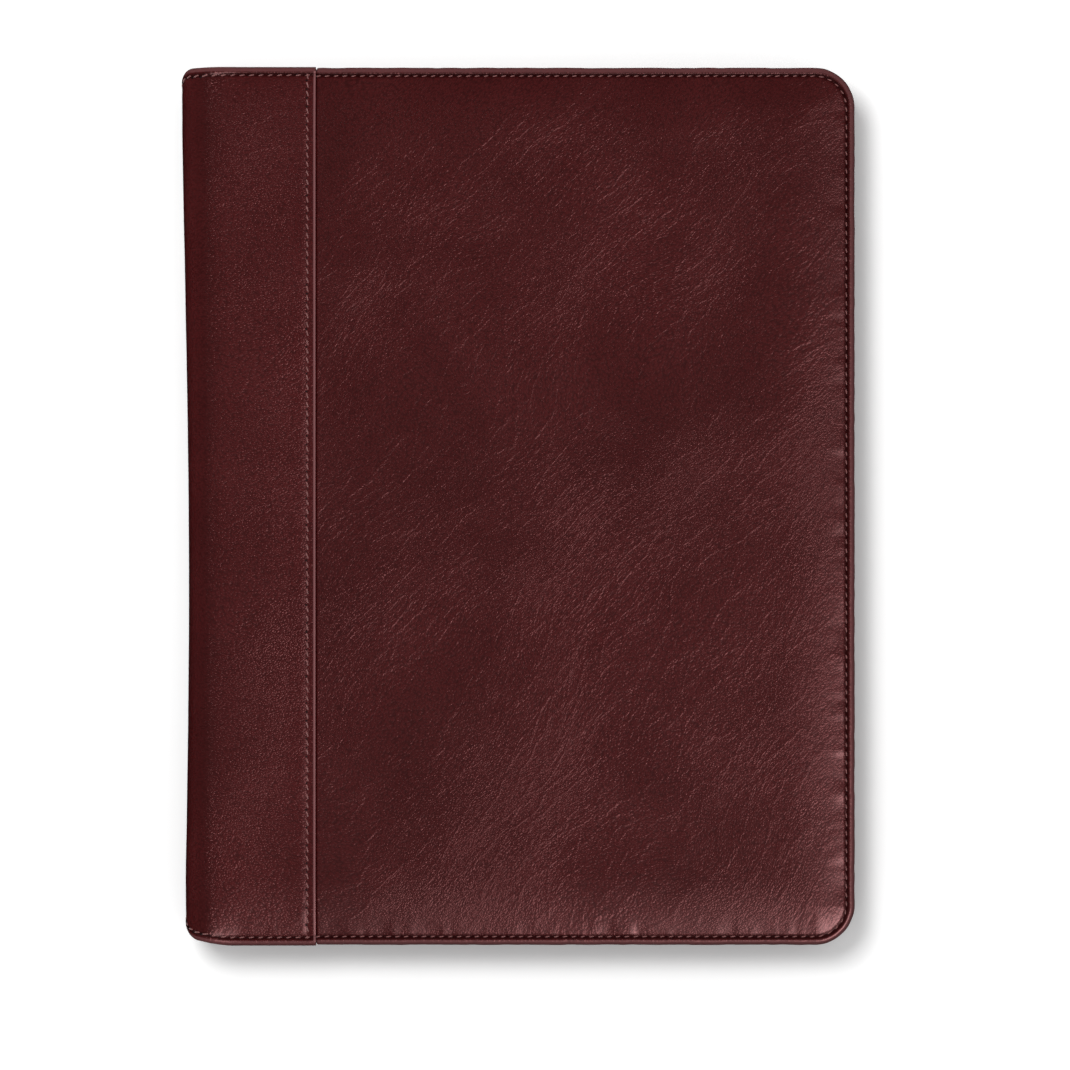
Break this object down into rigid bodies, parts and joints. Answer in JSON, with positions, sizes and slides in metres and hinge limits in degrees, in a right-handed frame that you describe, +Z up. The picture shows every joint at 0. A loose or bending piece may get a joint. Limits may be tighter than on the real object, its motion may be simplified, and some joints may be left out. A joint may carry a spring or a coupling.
{
  "type": "portfolio case",
  "caption": "Book-style leather writing portfolio with padded covers, a soft folding spine, inside pockets, a pen loop and a removable writing pad.",
  "frame": {"origin": "centre of the bottom of the bounding box of the closed case, on the outside of the back cover", "axes": "+X from the spine to the fore edge, +Y from the tail to the head, +Z up through the front cover"},
  "size_m": [0.244, 0.318, 0.026],
  "materials": {
    "leather": "satin",
    "pocket_leather": "satin",
    "lining": "matte",
    "foam": "matte",
    "board": "matte",
    "thread": "satin",
    "paper": "matte",
    "tape": "satin",
    "steel": "satin"
  },
  "bodies": {
    "back_cover": {"back_outer_panel": "leather", "spine_wrap_back_flap": "leather", "back_foam_padding": "foam", "back_board": "board", "back_lining": "lining", "back_edge_thread": "thread", "back_seam_thread": "thread", "pad_pocket_panel": "pocket_leather", "pad_pocket_thread": "thread", "pen_loop": "leather"},
    "spine": {"spine_wrap_middle": "leather", "spine_reinforcement": "board", "spine_lining": "lining", "spine_head_thread": "thread", "spine_tail_thread": "thread"},
    "front_cover": {"front_outer_panel": "leather", "spine_wrap_front_flap": "leather", "front_foam_padding": "foam", "front_board": "board", "front_lining": "lining", "front_edge_thread": "thread", "front_seam_thread": "thread", "document_pocket_panel": "pocket_leather", "document_pocket_thread": "thread", "memo_pocket_panel": "pocket_leather", "memo_pocket_thread": "thread", "card_slot_panel_1": "pocket_leather", "card_slot_panel_2": "pocket_leather", "card_slot_panel_3": "pocket_leather", "card_slot_thread": "thread", "card_slot_divider_thread": "thread"},
    "writing_pad": {"pad_backing_card": "board", "pad_sheets": "paper", "pad_binding_tape": "tape", "pad_staple_left": "steel", "pad_staple_right": "steel"}
  },
  "joints": [
    {"name": "spine_fold", "type": "hinge", "parent": "back_cover", "child": "spine", "pos_m": [-0.11975, 0, 0.00225], "axis": [0, -1, 0], "range_deg": [0, 90]},
    {"name": "front_fold", "type": "hinge", "parent": "spine", "child": "front_cover", "pos_m": [-0.11975, 0, 0.02375], "axis": [0, -1, 0], "range_deg": [0, 90]},
    {"name": "pad_slide", "type": "slide", "parent": "back_cover", "child": "writing_pad", "axis": [0, 1, 0], "range_m": [0, 0.3]}
  ],
  "couplings": [
    {"joint": "front_fold", "follows": "spine_fold", "ratio": 1}
  ]
}
